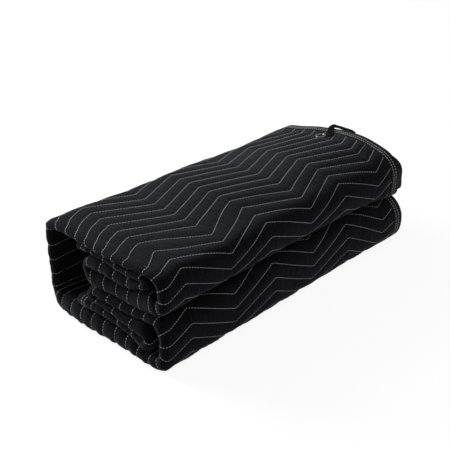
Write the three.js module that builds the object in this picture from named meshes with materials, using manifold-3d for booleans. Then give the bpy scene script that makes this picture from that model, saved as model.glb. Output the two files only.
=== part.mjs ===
// A quilted sound dampening blanket, folded flat into a long block for storage.
// The cloth is folded in four along its length, and the strip of four layers that this
// makes, a tier, is folded in eight across the block.
// Millimetres. X runs along the block to the hem end, Y to the spine, Z up.
import * as THREE from 'three';
import { mergeVertices } from 'three/addons/utils/BufferGeometryUtils.js';
import Module from 'manifold-3d';

// ---------------------------------------------------------------- driving dimensions
const HALF_LENGTH = 305; // half of one lengthwise panel, from its end fold to its hem
const CLOTH = 4.3; // shell, batting and shell, quilted together
const LAYER_GAP = 0.6; // air between the four layers of a tier
const TIER_PITCH = 20; // rise from one tier to the next
const TIERS = 8;
const FRONT_CENTRE = -104; // centres of the two big front folds, along Y
const INNER_FRONT_CENTRE = -91; // centres of the small front folds inside them
const UPPER_BACK_CENTRE = 27; // centres of the small back folds beside the spine's hollow
const LOWER_BACK_CENTRE = 24;
const UPPER_SIDE_HEM = 60; // where the blanket's two side hems lie, along Y
const LOWER_SIDE_HEM = 68;
const SPINE_CENTRE = 112.5; // centres of the spine's two corners, along Y
const SPINE_RADIUS = 22;
const STACK_HEIGHT = 170; // of the settled stack at its folded end
const CROWN = 15.6; // how much higher its middle is at the hem end
const SPINE_DROP = 12; // how much lower its spine is at the hem end
const BACK_CREASE = 87.5; // height of the crease between the packets, away from the front
const BELLY = 8.2; // how far the lower packet bulges forward at the hem end
const BINDING_WIDTH = 25; // the tape on each face of a hem
const TAPE = 0.7;
const CLEAR = 0.3; // air between pieces that are sewn together
const WEBBING = 1.5;

const LAYER_PITCH = CLOTH + LAYER_GAP;
const HALF_CLOTH = CLOTH / 2;
const HALF_UNDER_TAPE = HALF_CLOTH - TAPE - CLEAR;
const TIER_HALF = 1.5 * LAYER_PITCH + HALF_CLOTH;
const SMALL_RADIUS = TIER_PITCH / 2;
const BIG_RADIUS = 1.5 * TIER_PITCH;
const MIDDLE = (TIERS / 2) * TIER_PITCH; // where the upper packet meets the lower one
const UNDERSIDE = TIER_PITCH / 2 - TIER_HALF; // the lowest face of the even stack
const TOPSIDE = TIERS * TIER_PITCH - UNDERSIDE;
const TAPE_FOLD = TAPE + 0.4; // the tape's closed end, round the cloth's raw edge
const RAW_EDGE = TAPE_FOLD + CLEAR;

const lerp = (a, b, t) => a + (b - a) * t;
const ease = (value, from, to) => THREE.MathUtils.smoothstep(value, from, to);
const wave = (distance, length, turn) => Math.sin((2 * Math.PI * distance) / length + turn);
const tierHeight = (tier) => (tier + 0.5) * TIER_PITCH;

// ---------------------------------------------------------------- routes
// A route is a list of legs in a plane. A run keeps one height, a wall keeps one place
// along the plane's first axis, and a fold turns about a centre by an angle in degrees.
// Each point of a route has a normal, on the left of the direction of travel.

// The middle of a tier through the block, seen along X: the plane's axes are Y and Z.
const UPPER_FOLDS = MIDDLE + 2 * TIER_PITCH;
const LOWER_FOLDS = MIDDLE - 2 * TIER_PITCH;
const SPINE_TOP = tierHeight(7) - SPINE_RADIUS;
const SPINE_FOOT = tierHeight(0) + SPINE_RADIUS;
const run = (from, to, tier) => ({ kind: 'run', from, to, at: tierHeight(tier) });
const fold = (a, b, radius, from, to, steps) => ({ kind: 'fold', a, b, radius, from, to, steps });
const ROUTE = [
  run(UPPER_SIDE_HEM, INNER_FRONT_CENTRE, 6),
  fold(INNER_FRONT_CENTRE, UPPER_FOLDS, SMALL_RADIUS, 90, 270, 4),
  run(INNER_FRONT_CENTRE, UPPER_BACK_CENTRE, 5),
  fold(UPPER_BACK_CENTRE, UPPER_FOLDS - TIER_PITCH, SMALL_RADIUS, 90, -90, 4),
  run(UPPER_BACK_CENTRE, FRONT_CENTRE, 4),
  fold(FRONT_CENTRE, UPPER_FOLDS, BIG_RADIUS, 270, 90, 7),
  run(FRONT_CENTRE, SPINE_CENTRE, 7),
  fold(SPINE_CENTRE, SPINE_TOP, SPINE_RADIUS, 90, 0, 3),
  { kind: 'wall', from: SPINE_TOP, to: SPINE_FOOT, at: SPINE_CENTRE + SPINE_RADIUS },
  fold(SPINE_CENTRE, SPINE_FOOT, SPINE_RADIUS, 0, -90, 3),
  run(SPINE_CENTRE, FRONT_CENTRE, 0),
  fold(FRONT_CENTRE, LOWER_FOLDS, BIG_RADIUS, 270, 90, 7),
  run(FRONT_CENTRE, LOWER_BACK_CENTRE, 3),
  fold(LOWER_BACK_CENTRE, LOWER_FOLDS + TIER_PITCH, SMALL_RADIUS, 90, -90, 4),
  run(LOWER_BACK_CENTRE, INNER_FRONT_CENTRE, 2),
  fold(INNER_FRONT_CENTRE, LOWER_FOLDS, SMALL_RADIUS, 90, 270, 4),
  run(INNER_FRONT_CENTRE, LOWER_SIDE_HEM, 1),
];
const ROUTE_STOPS = [-55, -10, 33, 62]; // each run has stations here, so that all tiers bend alike

// The middle of the cloth through one tier, seen along the route: the plane's axes are X and
// the height above the tier's middle. The first panel lies outermost, then the fourth, the
// third and the second. The hem end of a panel drifts along X by its own amount.
const OUTER_END_FOLD = TIER_HALF - HALF_LENGTH;
const INNER_END_FOLD = OUTER_END_FOLD + 4;
const FAR_FOLD = HALF_LENGTH - 5;
const layer = (from, to, share, drift) => ({ kind: 'run', from, to, at: share * LAYER_PITCH, drift });
const LAYERS = [
  layer(HALF_LENGTH, OUTER_END_FOLD, 1.5, 'outerHem'),
  fold(OUTER_END_FOLD, 0, 1.5 * LAYER_PITCH, 90, 270, 4),
  layer(OUTER_END_FOLD, FAR_FOLD, -1.5, 'farFold'),
  { ...fold(FAR_FOLD, -LAYER_PITCH, LAYER_PITCH / 2, -90, 90, 2), drift: 'farFold' },
  layer(FAR_FOLD, INNER_END_FOLD, -0.5, 'farFold'),
  fold(INNER_END_FOLD, 0, LAYER_PITCH / 2, 270, 90, 2),
  layer(INNER_END_FOLD, HALF_LENGTH, 0.5, 'innerHem'),
];
const LAYER_STOPS = [-40, 180];

const legLength = (leg) => (leg.kind === 'fold'
  ? leg.radius * THREE.MathUtils.degToRad(Math.abs(leg.to - leg.from))
  : Math.abs(leg.to - leg.from));
const routeLength = (legs) => legs.reduce((sum, leg) => sum + legLength(leg), 0);
const ROUTE_LENGTH = routeLength(ROUTE);
const LAYERS_LENGTH = routeLength(LAYERS);

// The point, the normal and the leg at a distance along a route.
function along(legs, distance) {
  let left = distance;
  let leg = legs[0];
  for (let i = 0; left > legLength(leg) && i + 1 < legs.length; i += 1) {
    left -= legLength(leg);
    leg = legs[i + 1];
  }
  const way = lerp(leg.from, leg.to, left / legLength(leg));
  const sign = leg.to > leg.from ? 1 : -1;
  if (leg.kind === 'run') return { a: way, b: leg.at, na: 0, nb: sign, leg };
  if (leg.kind === 'wall') return { a: leg.at, b: way, na: -sign, nb: 0, leg };
  const turn = THREE.MathUtils.degToRad(way);
  const [c, s] = [Math.cos(turn), Math.sin(turn)];
  const [a, b] = [leg.a + leg.radius * c, leg.b + leg.radius * s];
  return { a, b, na: -sign * c, nb: -sign * s, leg };
}

// The distances of a route's stations: the ends of its legs, the steps of its folds, and
// where its runs pass the given stops. Stations too near the two ends asked for are left out.
function stations(legs, stops, first, last) {
  const NEAR = 3; // least step between stations
  const found = [];
  let start = 0;
  for (const leg of legs) {
    const length = legLength(leg);
    if (leg.kind === 'fold') {
      for (let i = 0; i < leg.steps; i += 1) found.push(start + (length * i) / leg.steps);
    } else {
      const passed = leg.kind === 'wall' ? [0.5] : stops.map((x) => (x - leg.from) / (leg.to - leg.from));
      const shares = passed.filter((t) => t * length > NEAR && (1 - t) * length > NEAR);
      found.push(start, ...shares.sort((p, q) => p - q).map((t) => start + t * length));
    }
    start += length;
  }
  return [first, ...found.filter((d) => d > first + NEAR && d < last - NEAR), last];
}

// ---------------------------------------------------------------- how the stack has settled
// How near a place on the route is to the upper front fold, from 0 to 1.
const atUpperFold = (s) => {
  const foot = routeLength(ROUTE.slice(0, 5));
  return 1 - ease(Math.abs(s - foot - BIG_RADIUS), 0, 80);
};

// The hem end of each panel has slipped a little along X, by an amount that varies along the
// route: at the upper front fold the outer panel has slipped back and the others stand out.
const DRIFT = {
  outerHem: (s) => 1.2 * wave(s, 310, 0.4) - 9 * atUpperFold(s),
  innerHem: (s) => 3 + 2.4 * wave(s, 52, 0.5) + 2 * wave(s, 240, 2) + 6 * atUpperFold(s),
  farFold: (s) => 4 + 2.6 * wave(s, 44, 2) + 2 * wave(s, 300, 0) + 6 * atUpperFold(s),
};
// The folded end is uneven from tier to tier.
const endSlip = (s) => 2.4 * wave(s, 410, 1) + 1.4 * wave(s, 173, 0);

// How far a fold's corner is pushed out towards a square one, for a direction from its centre.
// A squareness of 2 is a round fold.
function cornerScale(dy, dz, squareness) {
  const reach = Math.hypot(dy, dz);
  const share = Math.abs(dy / reach) ** squareness + Math.abs(dz / reach) ** squareness;
  return share ** (-1 / squareness);
}

// The fold that a point belongs to: the centre that it turns about and its squareness there.
function foldAt(x, y, z) {
  const hemEnd = ease(x, -250, HALF_LENGTH);
  if (y < FRONT_CENTRE && z >= MIDDLE) {
    const square = z > UPPER_FOLDS ? lerp(3.2, 2.1, hemEnd) : lerp(3, 5, ease(x, 180, HALF_LENGTH));
    return { y: FRONT_CENTRE, z: UPPER_FOLDS, square };
  }
  if (y < FRONT_CENTRE) {
    const square = z > LOWER_FOLDS ? 2.5 : lerp(4.5, 3.4, hemEnd);
    return { y: FRONT_CENTRE, z: LOWER_FOLDS, square };
  }
  if (y > SPINE_CENTRE && z > SPINE_TOP) return { y: SPINE_CENTRE, z: SPINE_TOP, square: 3 };
  if (y > SPINE_CENTRE && z < SPINE_FOOT) return { y: SPINE_CENTRE, z: SPINE_FOOT, square: 2.3 };
  return null;
}

// Height of the top of the stack: level at the folded end, crowned towards the hem end, and
// lower there along the spine.
function topHeight(x, y) {
  const CROWN_LINE = -41; // where the crown is highest, along Y
  const spread = y < CROWN_LINE ? 103 : 154;
  const across = Math.cos((Math.PI / 2) * Math.min(1, Math.abs(y - CROWN_LINE) / spread)) ** 2;
  const crown = CROWN * ease(x, -260, HALF_LENGTH) * across;
  const slope = SPINE_DROP * ease(x, -280, 270) * ease(y, 50, 144);
  return STACK_HEIGHT + crown - slope + 1.5 * wave(x, 260, 1.2);
}

// Height of the crease between the two packets: raised along the front, most at its middle
// and least at its hem end.
function creaseHeight(x, y) {
  const front = 1 - ease(y, -144, -57);
  const raised = 9.4 * (1 - 0.5 * ease(x, 205, HALF_LENGTH));
  return BACK_CREASE + front * (raised + 6.3 * Math.cos((Math.PI * x) / (2 * HALF_LENGTH)));
}

// At the folded end the tiers are unevenly thick. Each row gives the boundaries between the
// tiers of a packet there, as shares of the packet's height, at one place along Y.
const END_TIERS = [
  { y: -100, lower: [0.22, 0.5, 0.8], upper: [0.52, 0.72, 0.87] },
  { y: -50, lower: [0.38, 0.6, 0.8], upper: [0.38, 0.66, 0.86] },
  { y: 0, lower: [0.43, 0.66, 0.82], upper: [0.43, 0.68, 0.86] },
];

// The share of its packet's height at which a point has come to lie, from its even share.
function settledShare(x, y, share, packet) {
  const tiers = TIERS / 2;
  const tier = THREE.MathUtils.clamp(Math.floor(share * tiers), 0, tiers - 1);
  const next = Math.max(1, END_TIERS.findIndex((row) => y < row.y || row === END_TIERS.at(-1)));
  const [front, back] = [END_TIERS[next - 1], END_TIERS[next]];
  const mark = (k) => [0, ...front[packet], 1][k]
    + ([0, ...back[packet], 1][k] - [0, ...front[packet], 1][k]) * ease(y, front.y, back.y);
  const uneven = ease(-x, 150, 290) * (1 - ease(-y, 105, 130));
  return lerp(share, lerp(mark(tier), mark(tier + 1), share * tiers - tier), uneven);
}

// Where a point of the even stack lies once the blanket has settled under its own weight.
function settle(x, y, z) {
  const corner = foldAt(x, y, z);
  const scale = corner ? cornerScale(y - corner.y, z - corner.z, corner.square) : 1;
  const outY = corner ? corner.y + scale * (y - corner.y) : y;
  const squareZ = corner ? corner.z + scale * (z - corner.z) : z;
  const crease = creaseHeight(x, outY);
  const lowerShare = (squareZ - UNDERSIDE) / (MIDDLE - UNDERSIDE);
  const upperShare = (squareZ - MIDDLE) / (TOPSIDE - MIDDLE);
  const outZ = squareZ < MIDDLE
    ? crease * settledShare(x, outY, lowerShare, 'lower')
    : lerp(crease, topHeight(x, outY), settledShare(x, outY, upperShare, 'upper'));
  // The lower packet bulges forward at the hem end.
  const bulge = Math.sin(Math.PI * Math.min(1, outZ / BACK_CREASE));
  const forward = BELLY * ease(x, 120, HALF_LENGTH) * ease(-outY, 62, 144) * bulge;
  return new THREE.Vector3(x, outY - forward, outZ);
}

// The place of the cloth at a distance s along the route and t through the layers, lifted
// off the cloth's middle. A negative lift is on the blanket's outer side.
function place(s, t, lift) {
  const cloth = along(LAYERS, t);
  const height = cloth.b + lift * cloth.nb;
  const x = cloth.a + lift * cloth.na;
  const drift = cloth.leg.drift ? DRIFT[cloth.leg.drift](s) * ease(x, 150, 280) : 0;
  const slip = endSlip(s) * ease(-x, 100, 280);
  const middle = along(ROUTE, s);
  return settle(x + drift + slip, middle.a + height * middle.na, middle.b + height * middle.nb);
}

// ---------------------------------------------------------------- solids
// A closed solid through rings of equal length, with a cap on its first and its last ring.
// The section is the rings' outline in a plane, from which the caps are made.
function sweep(rings, section) {
  const outline = section.map(([a, b]) => new THREE.Vector2(a, b));
  const turned = THREE.ShapeUtils.isClockWise(outline);
  const points = rings.map((ring) => (turned ? [...ring].reverse() : ring)).flat();
  if (turned) outline.reverse();
  const count = outline.length;
  const faces = [];
  for (let i = 0; i + 1 < rings.length; i += 1) {
    for (let j = 0; j < count; j += 1) {
      const [p, q] = [i * count + j, i * count + ((j + 1) % count)];
      // Layers that lie on each other are split along the same way, or their corners would cross.
      const split = points[q + count].clone().sub(points[p]);
      const forward = split.x * (split.y + split.z / 3) > 0;
      if (forward) faces.push([p, q, q + count], [p, q + count, p + count]);
      else faces.push([p, q, p + count], [q, q + count, p + count]);
    }
  }
  const last = (rings.length - 1) * count;
  for (const [p, q, r] of THREE.ShapeUtils.triangulateShape(outline, [])) {
    faces.push([r, q, p], [last + p, last + q, last + r]);
  }
  const geometry = new THREE.BufferGeometry();
  geometry.setFromPoints(points);
  geometry.setIndex(faces.flat());
  return facingOut(geometry);
}

// The geometry with its faces turned out, whichever way round it was made.
function facingOut(geometry) {
  const index = geometry.index.array;
  const position = geometry.attributes.position;
  const corner = [0, 1, 2].map(() => new THREE.Vector3());
  let volume = 0;
  for (let i = 0; i < index.length; i += 3) {
    corner.forEach((point, j) => point.fromBufferAttribute(position, index[i + j]));
    volume += corner[0].dot(corner[1].clone().cross(corner[2]));
  }
  if (volume < 0) index.reverse();
  return geometry;
}

// ---------------------------------------------------------------- the quilted cloth
const layerStations = (first, last) => {
  const taped = [BINDING_WIDTH, LAYERS_LENGTH - BINDING_WIDTH];
  const cloth = [taped[0] + CLEAR, taped[1] - CLEAR];
  const all = [...stations(LAYERS, LAYER_STOPS, first, last), ...taped, ...cloth];
  return all.sort((p, q) => p - q);
};
const routeStations = (first, last) => stations(ROUTE, ROUTE_STOPS, first, last);

// Half the cloth's thickness, which is less where the tape presses on it.
function halfCloth(s, t) {
  const fromHem = Math.min(s, t, ROUTE_LENGTH - s, LAYERS_LENGTH - t);
  return fromHem < BINDING_WIDTH + CLEAR / 2 ? HALF_UNDER_TAPE : HALF_CLOTH;
}

// One back-and-forth section of the tier's layers, carried along the route.
function foldedCloth() {
  const layers = layerStations(RAW_EDGE, LAYERS_LENGTH - RAW_EDGE);
  const both = [...layers.map((t) => [t, -1]), ...[...layers].reverse().map((t) => [t, 1])];
  const route = [
    RAW_EDGE,
    ...routeStations(BINDING_WIDTH, ROUTE_LENGTH - BINDING_WIDTH),
    BINDING_WIDTH + CLEAR,
    ROUTE_LENGTH - BINDING_WIDTH - CLEAR,
    ROUTE_LENGTH - RAW_EDGE,
  ].sort((p, q) => p - q);
  const rings = route.map((s) => both.map(([t, side]) => place(s, t, side * halfCloth(s, t))));
  const section = both.map(([t, side]) => {
    const cloth = along(LAYERS, t);
    const lift = side * HALF_UNDER_TAPE;
    return [cloth.a + lift * cloth.na, cloth.b + lift * cloth.nb];
  });
  return sweep(rings, section);
}

// ---------------------------------------------------------------- edge binding
// The tape's section: folded round the raw edge, with its closed end at distance 0.
const TAPE_SECTION = [
  [0, HALF_CLOTH],
  [BINDING_WIDTH, HALF_CLOTH],
  [BINDING_WIDTH, HALF_CLOTH - TAPE],
  [TAPE_FOLD, HALF_CLOTH - TAPE],
  [TAPE_FOLD, TAPE - HALF_CLOTH],
  [BINDING_WIDTH, TAPE - HALF_CLOTH],
  [BINDING_WIDTH, -HALF_CLOTH],
  [0, -HALF_CLOTH],
];

// The tape on a cut end of the cloth, which runs along the route.
function hemBinding(hemAt, inward) {
  const inset = BINDING_WIDTH + CLEAR;
  const rings = routeStations(inset, ROUTE_LENGTH - inset).map((s) => (
    TAPE_SECTION.map(([depth, lift]) => place(s, hemAt + inward * depth, lift))));
  return sweep(rings, TAPE_SECTION);
}

// The tape on a side of the cloth, which runs through all the layers.
function sideBinding(hemAt, inward) {
  const rings = layerStations(0, LAYERS_LENGTH).map((t) => (
    TAPE_SECTION.map(([depth, lift]) => place(hemAt + inward * depth, t, lift))));
  return sweep(rings, TAPE_SECTION);
}

// ---------------------------------------------------------------- eyelet
const EYELET = { x: 258, y: 17, flange: 10.8, bore: 5.8, barrel: 6.6, washer: 10, sides: 20 };
const ROLL = 1.5; // how high the flange's rolled top stands
const RIM = 0.5; // how deep the flange's edge lies in the pressed cloth
const PRESSED = 3.3; // depth of the washer's upper face, with the cloth pressed between
const WASHER = 0.6;
const ROOM_TOP = 4; // above the flange
const ROOM_FOOT = -CLOTH - LAYER_GAP + 0.05; // just short of the next layer

// A point on the top of the block, lifted off it.
const onTop = (x, y, lift) => settle(x, y, TOPSIDE + lift);

// The frame of a small hard piece on top: its place, with its own Y axis off the cloth.
function topFrame(x, y) {
  const STEP = 5;
  const origin = onTop(x, y, 0);
  const alongX = onTop(x + STEP, y, 0).sub(onTop(x - STEP, y, 0)).normalize();
  const alongY = onTop(x, y + STEP, 0).sub(onTop(x, y - STEP, 0)).normalize();
  const off = alongX.clone().cross(alongY).normalize();
  const across = off.clone().cross(alongX);
  return new THREE.Matrix4().makeBasis(alongX, off, across.negate()).setPosition(origin);
}

const lathe = (profile) => {
  const outline = profile.map(([radius, height]) => new THREE.Vector2(radius, height));
  const geometry = new THREE.LatheGeometry(outline, EYELET.sides);
  geometry.deleteAttribute('normal');
  geometry.deleteAttribute('uv');
  return facingOut(mergeVertices(geometry, 1e-4));
};

function eyeletRing() {
  const { flange, bore, barrel, washer } = EYELET;
  return lathe([
    [bore, ROLL / 2], [bore + 1, ROLL], [flange - 2.4, ROLL], [flange - 0.8, ROLL / 2],
    [flange, 0], [flange, -RIM], [barrel, -RIM], [barrel, -PRESSED], [washer, -PRESSED],
    [washer, -PRESSED - WASHER], [bore, -PRESSED - WASHER], [bore, ROLL / 2],
  ]);
}

// The room that the eyelet takes out of the cloth: its seat, its barrel and its washer.
function eyeletRoom() {
  const { flange, barrel, washer } = EYELET;
  return lathe([
    [0, ROOM_TOP], [flange + CLEAR, ROOM_TOP], [flange + CLEAR, -RIM - CLEAR],
    [barrel + CLEAR, -RIM - CLEAR], [barrel + CLEAR, CLEAR - PRESSED],
    [washer + CLEAR, CLEAR - PRESSED], [washer + CLEAR, ROOM_FOOT], [0, ROOM_FOOT],
  ]);
}

// ---------------------------------------------------------------- webbing loop
// The strip's two edges, from its foot on the hem, out and round, and back to the hem.
// Each row gives a point of the inner and of the outer edge, with its lift off the top.
const LOOP_ROWS = [
  { innerX: 266, innerY: -8.5, innerLift: CLEAR, outerX: 258, outerY: 2.5, outerLift: CLEAR },
  { innerX: 283, innerY: 4, innerLift: CLEAR, outerX: 276, outerY: 15.5, outerLift: CLEAR },
  { innerX: 296, innerY: 13.5, innerLift: CLEAR, outerX: 291, outerY: 26, outerLift: 1 },
  { innerX: 304, innerY: 19, innerLift: 0.8, outerX: 304, outerY: 32, outerLift: 2.4 },
  { innerX: 310, innerY: 22, innerLift: -0.2, outerX: 317.5, outerY: 32, outerLift: 2.8 },
  { innerX: 312.8, innerY: 19, innerLift: -1.1, outerX: 320.5, outerY: 25, outerLift: 1 },
  { innerX: 313.4, innerY: 13.5, innerLift: -2, outerX: 321, outerY: 17, outerLift: 0.2 },
  { innerX: 313.2, innerY: 9, innerLift: -2.7, outerX: 321, outerY: 11, outerLift: -0.4 },
  { innerX: 312.5, innerY: 2, innerLift: -3.2, outerX: 321.5, outerY: 4.5, outerLift: -1.4 },
  { innerX: 311.3, innerY: -7, innerLift: -3.5, outerX: 321, outerY: -4.5, outerLift: -1.8 },
  { innerX: 308, innerY: -18, innerLift: -3.5, outerX: 319, outerY: -14.5, outerLift: -2.4 },
  { innerX: 305.8, innerY: -26, innerLift: -3.4, outerX: 314.5, outerY: -24, outerLift: -3.2 },
];

function webbingLoop() {
  const inner = LOOP_ROWS.map((row) => onTop(row.innerX, row.innerY, row.innerLift));
  const outer = LOOP_ROWS.map((row) => onTop(row.outerX, row.outerY, row.outerLift));
  const middle = inner.map((point, i) => point.clone().lerp(outer[i], 0.5));
  const rings = inner.map((point, i) => {
    const ahead = middle[Math.min(i + 1, middle.length - 1)];
    const behind = middle[Math.max(i - 1, 0)];
    const off = outer[i].clone().sub(point).cross(ahead.clone().sub(behind)).normalize();
    if (off.z < 0) off.negate();
    const thick = off.multiplyScalar(WEBBING);
    return [point, outer[i], outer[i].clone().add(thick), point.clone().add(thick)];
  });
  return sweep(rings, [[0, 0], [1, 0], [1, 1], [0, 1]]);
}

// ---------------------------------------------------------------- joins and cuts
const wasm = await Module();
wasm.setup();

const solidOf = (geometry) => new wasm.Manifold(new wasm.Mesh({
  numProp: 3,
  vertProperties: new Float32Array(geometry.attributes.position.array),
  triVerts: new Uint32Array(geometry.index.array),
}));

function cut(geometry, tool) {
  const mesh = solidOf(geometry).subtract(solidOf(tool)).getMesh();
  const result = new THREE.BufferGeometry();
  result.setAttribute('position', new THREE.Float32BufferAttribute(mesh.vertProperties, 3));
  result.setIndex([...mesh.triVerts]);
  return result;
}

// ---------------------------------------------------------------- the blanket's pieces
const material = (color, roughness, metalness = 0) => (
  new THREE.MeshStandardMaterial({ color, roughness, metalness }));
const CLOTH_LOOK = material('#1b1b1f', 0.92);
const TAPE_LOOK = material('#141417', 0.85);
const WEBBING_LOOK = material('#121214', 0.8);
const NICKEL_LOOK = material('#c9cacb', 0.25, 1);

const blanket = new THREE.Group();
function add(name, geometry, look) {
  const mesh = new THREE.Mesh(geometry, look);
  mesh.name = name;
  blanket.add(mesh);
}

const seat = topFrame(EYELET.x, EYELET.y);
add('quilted_cloth', cut(foldedCloth(), eyeletRoom().applyMatrix4(seat)), CLOTH_LOOK);
add('binding_outer_hem', hemBinding(0, 1), TAPE_LOOK);
add('binding_inner_hem', hemBinding(LAYERS_LENGTH, -1), TAPE_LOOK);
add('binding_upper_side', sideBinding(0, 1), TAPE_LOOK);
add('binding_lower_side', sideBinding(ROUTE_LENGTH, -1), TAPE_LOOK);
add('eyelet', eyeletRing().applyMatrix4(seat), NICKEL_LOOK);
add('webbing_loop', webbingLoop(), WEBBING_LOOK);

// The part's origin is under the middle of its box.
const box = new THREE.Box3().setFromObject(blanket);
const part = new THREE.Group();
blanket.position.set(-(box.min.x + box.max.x) / 2, -(box.min.y + box.max.y) / 2, -box.min.z);
part.add(blanket);

export default part;
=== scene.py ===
"""A quilted sound dampening blanket, folded flat into a long block for storage.

The cloth is folded in four along its length, and the strip of four layers that this makes,
a tier, is folded in eight across the block. Run in Blender, this file builds the blanket
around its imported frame: the quilted cloth, its stitching, its edge bindings, the eyelet
and the webbing loop, with their materials, and a plain studio.
"""
import math

import bmesh
import bpy
import numpy as np
from bpy.props import FloatProperty, FloatVectorProperty, IntProperty, PointerProperty
from mathutils import Matrix, Vector


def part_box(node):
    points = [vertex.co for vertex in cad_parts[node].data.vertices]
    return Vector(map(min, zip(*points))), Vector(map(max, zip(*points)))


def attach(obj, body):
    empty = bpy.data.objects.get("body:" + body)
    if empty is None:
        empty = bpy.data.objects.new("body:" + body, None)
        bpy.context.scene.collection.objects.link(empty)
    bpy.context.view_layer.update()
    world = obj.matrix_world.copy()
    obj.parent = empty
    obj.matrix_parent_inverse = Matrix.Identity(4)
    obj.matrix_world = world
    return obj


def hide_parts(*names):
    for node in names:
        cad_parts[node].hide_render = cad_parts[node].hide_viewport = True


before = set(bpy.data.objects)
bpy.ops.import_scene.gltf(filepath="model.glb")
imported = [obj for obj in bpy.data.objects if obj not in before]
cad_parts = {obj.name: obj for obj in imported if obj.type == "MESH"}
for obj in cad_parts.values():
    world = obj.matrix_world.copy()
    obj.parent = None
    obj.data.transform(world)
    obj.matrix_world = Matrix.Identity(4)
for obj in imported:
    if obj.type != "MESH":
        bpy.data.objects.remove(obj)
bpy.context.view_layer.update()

bl_info = {
    "name": "Folded Sound Dampening Blanket",
    "version": (1, 0, 0),
    "blender": (4, 5, 0),
    "location": "3D View > Sidebar > Blanket",
    "description": "Builds a folded quilted blanket with its stitching, bindings, eyelet and loop",
    "category": "Add Mesh",
}

MM = 0.001

# ---------------------------------------------------------------- how the blanket is folded
# Millimetres, about the middle of the folded block: X to the hem end, Y to the spine, Z up.
HALF_LENGTH = 305  # half of one lengthwise panel, from its end fold to its hem
CLOTH = 4.3  # shell, batting and shell, quilted together
LAYER_GAP = 0.6  # air between the four layers of a tier
LAYER_PITCH = CLOTH + LAYER_GAP
HALF_CLOTH = CLOTH / 2
TIER_PITCH = 20  # rise from one tier to the next
TIERS = 8
TIER_HALF = 1.5 * LAYER_PITCH + HALF_CLOTH
FRONT_CENTRE = -104  # centres of the two big front folds, along Y
INNER_FRONT_CENTRE = -91
UPPER_BACK_CENTRE = 27
LOWER_BACK_CENTRE = 24
UPPER_SIDE_HEM = 60  # where the blanket's two side hems lie, along Y
LOWER_SIDE_HEM = 68
SPINE_CENTRE = 112.5
SPINE_RADIUS = 22
STACK_HEIGHT = 170  # of the settled stack at its folded end
CROWN = 15.6  # how much higher its middle is at the hem end
SPINE_DROP = 12  # how much lower its spine is at the hem end
BACK_CREASE = 87.5  # height of the crease between the packets, away from the front
BELLY = 8.2  # how far the lower packet bulges forward at the hem end
SMALL_RADIUS = TIER_PITCH / 2
BIG_RADIUS = 1.5 * TIER_PITCH
MIDDLE = TIERS / 2 * TIER_PITCH  # where the upper packet meets the lower one
UNDERSIDE = TIER_PITCH / 2 - TIER_HALF
TOPSIDE = TIERS * TIER_PITCH - UNDERSIDE
UPPER_FOLDS = MIDDLE + 2 * TIER_PITCH
LOWER_FOLDS = MIDDLE - 2 * TIER_PITCH
BINDING_WIDTH = 25  # the tape on each face of a hem
TAPE = 0.7
CLEAR = 0.3  # air between pieces that are sewn together
UNDER_TAPE = HALF_CLOTH - TAPE - CLEAR  # half the cloth's thickness under the tape
TAPE_FOLD = TAPE + 0.4  # the tape's closed end, round the cloth's raw edge
RAW_EDGE = TAPE_FOLD + CLEAR
EYELET_X = 258
EYELET_Y = 17


def tier_height(tier):
    """The height of a tier's middle in the even stack."""
    return (tier + 0.5) * TIER_PITCH


SPINE_TOP = tier_height(7) - SPINE_RADIUS
SPINE_FOOT = tier_height(0) + SPINE_RADIUS


def run(start, end, at, step=20.0, drift=None, kind="run"):
    """A straight leg at one height, or for a wall at one place along the plane's first axis."""
    return dict(kind=kind, start=start, end=end, at=at, length=abs(end - start), step=step, drift=drift)


def fold(a, b, radius, start, end, step=4.0, drift=None):
    """A leg that turns about a centre, by an angle in degrees."""
    length = radius * math.radians(abs(end - start))
    return dict(kind="fold", a=a, b=b, radius=radius, start=start, end=end, length=length,
                step=step, drift=drift)


# The middle of a tier through the block, seen along X: the plane's axes are Y and Z.
ROUTE = [
    run(UPPER_SIDE_HEM, INNER_FRONT_CENTRE, tier_height(6)),
    fold(INNER_FRONT_CENTRE, UPPER_FOLDS, SMALL_RADIUS, 90, 270),
    run(INNER_FRONT_CENTRE, UPPER_BACK_CENTRE, tier_height(5)),
    fold(UPPER_BACK_CENTRE, UPPER_FOLDS - TIER_PITCH, SMALL_RADIUS, 90, -90),
    run(UPPER_BACK_CENTRE, FRONT_CENTRE, tier_height(4)),
    fold(FRONT_CENTRE, UPPER_FOLDS, BIG_RADIUS, 270, 90),
    run(FRONT_CENTRE, SPINE_CENTRE, tier_height(7)),
    fold(SPINE_CENTRE, SPINE_TOP, SPINE_RADIUS, 90, 0),
    run(SPINE_TOP, SPINE_FOOT, SPINE_CENTRE + SPINE_RADIUS, kind="wall"),
    fold(SPINE_CENTRE, SPINE_FOOT, SPINE_RADIUS, 0, -90),
    run(SPINE_CENTRE, FRONT_CENTRE, tier_height(0)),
    fold(FRONT_CENTRE, LOWER_FOLDS, BIG_RADIUS, 270, 90),
    run(FRONT_CENTRE, LOWER_BACK_CENTRE, tier_height(3)),
    fold(LOWER_BACK_CENTRE, LOWER_FOLDS + TIER_PITCH, SMALL_RADIUS, 90, -90),
    run(LOWER_BACK_CENTRE, INNER_FRONT_CENTRE, tier_height(2)),
    fold(INNER_FRONT_CENTRE, LOWER_FOLDS, SMALL_RADIUS, 90, 270),
    run(INNER_FRONT_CENTRE, LOWER_SIDE_HEM, tier_height(1)),
]

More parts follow.
